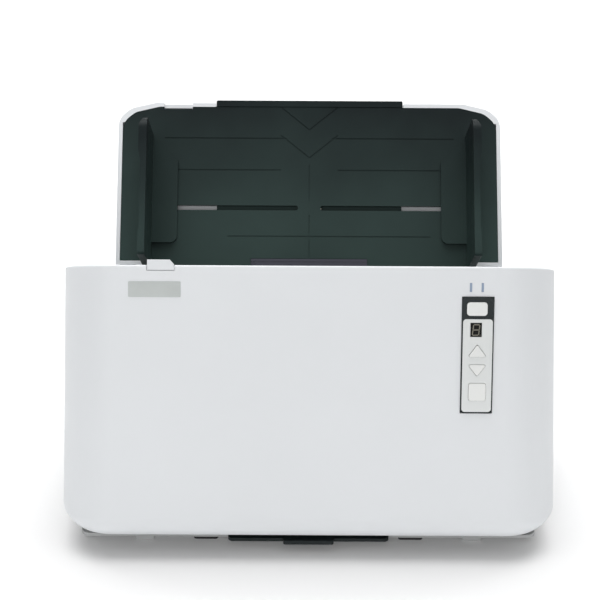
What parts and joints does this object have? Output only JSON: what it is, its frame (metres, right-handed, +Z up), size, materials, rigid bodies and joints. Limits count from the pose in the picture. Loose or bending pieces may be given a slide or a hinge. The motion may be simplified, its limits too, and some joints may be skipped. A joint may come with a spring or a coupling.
{
  "type": "sheet fed document scanner",
  "caption": "Desktop sheet fed scanner: rounded white casing with swing-down front cover, dark input tray that folds shut as a lid, sliding paper guides and a strip of push buttons.",
  "frame": {"origin": "on the floor under the middle of the object's box, with the input tray open", "axes": "+X to the scanner's left-hand guide's opposite side (the control panel side), -Y out of the front face, +Z up"},
  "size_m": [0.3186, 0.2364, 0.2376],
  "materials": {
    "shell_white": "fine moulded texture",
    "tray_white": "fine moulded texture",
    "tray_charcoal": "fine moulded texture",
    "inner_charcoal": "satin",
    "strip_grey": "satin",
    "base_grey": "satin",
    "panel_grey": "satin",
    "key_white": "satin",
    "bezel_black": "glossy",
    "light_pipe_clear": "translucent blue-grey",
    "label_silver": "silver-grey film",
    "foot_rubber": "matt",
    "roller_rubber": "matt",
    "steel": "bright",
    "frame_steel": "zinc plated",
    "bush_brass": "sintered",
    "gear_plastic": "natural acetal",
    "board_green": "lacquered board",
    "socket_black": "satin",
    "sensor_glass": "clear"
  },
  "bodies": {
    "chassis": {"rear_housing": "shell_white", "base_plate": "base_grey", "rubber_feet": "foot_rubber", "base_screws": "steel", "left_side_frame": "frame_steel", "right_side_frame": "frame_steel", "roller_bushes": "bush_brass", "drive_motor": "frame_steel", "tray_hinge_pins": "steel", "cover_hinge_pins": "steel", "lower_paper_guide": "inner_charcoal", "rear_image_sensor": "inner_charcoal", "rear_sensor_glass": "sensor_glass", "main_board": "board_green", "power_jack": "socket_black", "usb_socket": "socket_black"},
    "front_cover": {"front_shell": "shell_white", "inner_cover": "inner_charcoal", "front_image_sensor": "inner_charcoal", "front_sensor_glass": "sensor_glass", "cover_screws": "steel", "control_bezel": "bezel_black", "panel_face": "panel_grey", "display_window": "bezel_black", "digit_display": "bezel_black", "light_pipes": "light_pipe_clear", "panel_board": "board_green", "button_switches": "socket_black", "label_plate": "label_silver"},
    "input_tray": {"tray_shell": "tray_white", "tray_panel": "tray_charcoal", "feed_strip": "strip_grey"},
    "left_guide": {"left_paper_guide": "tray_charcoal"},
    "right_guide": {"right_paper_guide": "tray_charcoal"},
    "guide_pinion": {"guide_pinion": "gear_plastic"},
    "tray_extension": {"tray_extension": "tray_charcoal"},
    "output_tray": {"output_tray": "inner_charcoal"},
    "release_tab": {"release_tab": "shell_white"},
    "power_button": {"power_button": "key_white"},
    "up_button": {"up_button": "key_white"},
    "down_button": {"down_button": "key_white"},
    "scan_button": {"scan_button": "key_white"},
    "feed_roller": {"feed_shaft": "steel", "feed_tyres": "roller_rubber", "feed_roller_gear": "gear_plastic"},
    "exit_roller": {"exit_shaft": "steel", "exit_tyres": "roller_rubber", "exit_roller_gear": "gear_plastic"},
    "pick_roller": {"pick_shaft": "steel", "pick_tyres": "roller_rubber", "pick_roller_gear": "gear_plastic"},
    "exit_idler": {"exit_idler_gear": "gear_plastic"},
    "pick_idler": {"pick_idler_gear": "gear_plastic"},
    "motor_rotor": {"motor_pinion": "gear_plastic"},
    "feed_pinch": {"feed_pinch_roller": "roller_rubber"},
    "exit_pinch": {"exit_pinch_roller": "roller_rubber"},
    "brake": {"brake_roller": "roller_rubber"}
  },
  "joints": [
    {"name": "front_cover_hinge", "type": "hinge", "parent": "chassis", "child": "front_cover", "pos_m": [0, -0.10366, 0.03], "axis": [1, 0, 0], "range_deg": [0, 60]},
    {"name": "input_tray_hinge", "type": "hinge", "parent": "chassis", "child": "input_tray", "pos_m": [0, 0.03834, 0.128], "axis": [-1, 0, 0], "range_deg": [-97, 0]},
    {"name": "left_guide_slide", "type": "slide", "parent": "input_tray", "child": "left_guide", "axis": [1, 0, 0], "range_m": [0, 0.084]},
    {"name": "right_guide_slide", "type": "slide", "parent": "input_tray", "child": "right_guide", "axis": [-1, 0, 0], "range_m": [0, 0.084]},
    {"name": "guide_pinion_spin", "type": "hinge", "parent": "input_tray", "child": "guide_pinion", "pos_m": [0, 0.06949, 0.16613], "axis": [0, -0.8192, 0.5736], "range_deg": [-642, 0]},
    {"name": "tray_extension_slide", "type": "slide", "parent": "input_tray", "child": "tray_extension", "axis": [0, 0.5736, 0.8192], "range_m": [0, 0.08]},
    {"name": "output_tray_slide", "type": "slide", "parent": "chassis", "child": "output_tray", "axis": [0, -1, 0], "range_m": [0, 0.06]},
    {"name": "release_tab_hinge", "type": "hinge", "parent": "front_cover", "child": "release_tab", "pos_m": [-0.0929, -0.06861, 0.17511], "axis": [-1, 0, 0], "range_deg": [0, 10], "stiffness_Nm_per_rad": 0.02},
    {"name": "power_button_press", "type": "slide", "parent": "front_cover", "child": "power_button", "axis": [0, 0.9591, -0.2832], "range_m": [0, 0.0008], "stiffness_N_per_m": 400},
    {"name": "up_button_press", "type": "slide", "parent": "front_cover", "child": "up_button", "axis": [0, 0.9591, -0.2832], "range_m": [0, 0.0008], "stiffness_N_per_m": 400},
    {"name": "down_button_press", "type": "slide", "parent": "front_cover", "child": "down_button", "axis": [0, 0.9591, -0.2832], "range_m": [0, 0.0008], "stiffness_N_per_m": 400},
    {"name": "scan_button_press", "type": "slide", "parent": "front_cover", "child": "scan_button", "axis": [0, 0.9591, -0.2832], "range_m": [0, 0.0008], "stiffness_N_per_m": 400},
    {"name": "feed_roller_spin", "type": "hinge", "parent": "chassis", "child": "feed_roller", "pos_m": [0, -0.01077, 0.05227], "axis": [1, 0, 0], "continuous": true},
    {"name": "exit_roller_spin", "type": "hinge", "parent": "chassis", "child": "exit_roller", "pos_m": [0, -0.06066, 0.01798], "axis": [1, 0, 0], "continuous": true},
    {"name": "pick_roller_spin", "type": "hinge", "parent": "chassis", "child": "pick_roller", "pos_m": [0, 0.0099, 0.07262], "axis": [1, 0, 0], "continuous": true},
    {"name": "exit_idler_spin", "type": "hinge", "parent": "chassis", "child": "exit_idler", "pos_m": [0, -0.03192, 0.02961], "axis": [1, 0, 0], "continuous": true},
    {"name": "pick_idler_spin", "type": "hinge", "parent": "chassis", "child": "pick_idler", "pos_m": [0, -0.00517, 0.06726], "axis": [1, 0, 0], "continuous": true},
    {"name": "motor_spin", "type": "hinge", "parent": "chassis", "child": "motor_rotor", "pos_m": [0, -0.00519, 0.02586], "axis": [1, 0, 0], "continuous": true},
    {"name": "feed_pinch_spin", "type": "hinge", "parent": "front_cover", "child": "feed_pinch", "pos_m": [0, -0.01931, 0.06112], "axis": [1, 0, 0], "continuous": true},
    {"name": "exit_pinch_spin", "type": "hinge", "parent": "front_cover", "child": "exit_pinch", "pos_m": [0, -0.06585, 0.02913], "axis": [1, 0, 0], "continuous": true},
    {"name": "brake_roller_spin", "type": "hinge", "parent": "front_cover", "child": "brake", "pos_m": [0, -0.00391, 0.08303], "axis": [1, 0, 0], "continuous": true}
  ],
  "couplings": [
    {"joint": "right_guide_slide", "follows": "left_guide_slide", "ratio": 1},
    {"joint": "guide_pinion_spin", "follows": "left_guide_slide", "rad_per_m": -133.33},
    {"joint": "exit_idler_spin", "follows": "feed_roller_spin", "ratio": -0.47619},
    {"joint": "exit_roller_spin", "follows": "feed_roller_spin", "ratio": 1},
    {"joint": "pick_idler_spin", "follows": "feed_roller_spin", "ratio": -1.6667},
    {"joint": "pick_roller_spin", "follows": "feed_roller_spin", "ratio": 1},
    {"joint": "motor_spin", "follows": "feed_roller_spin", "ratio": 1.6667}
  ]
}
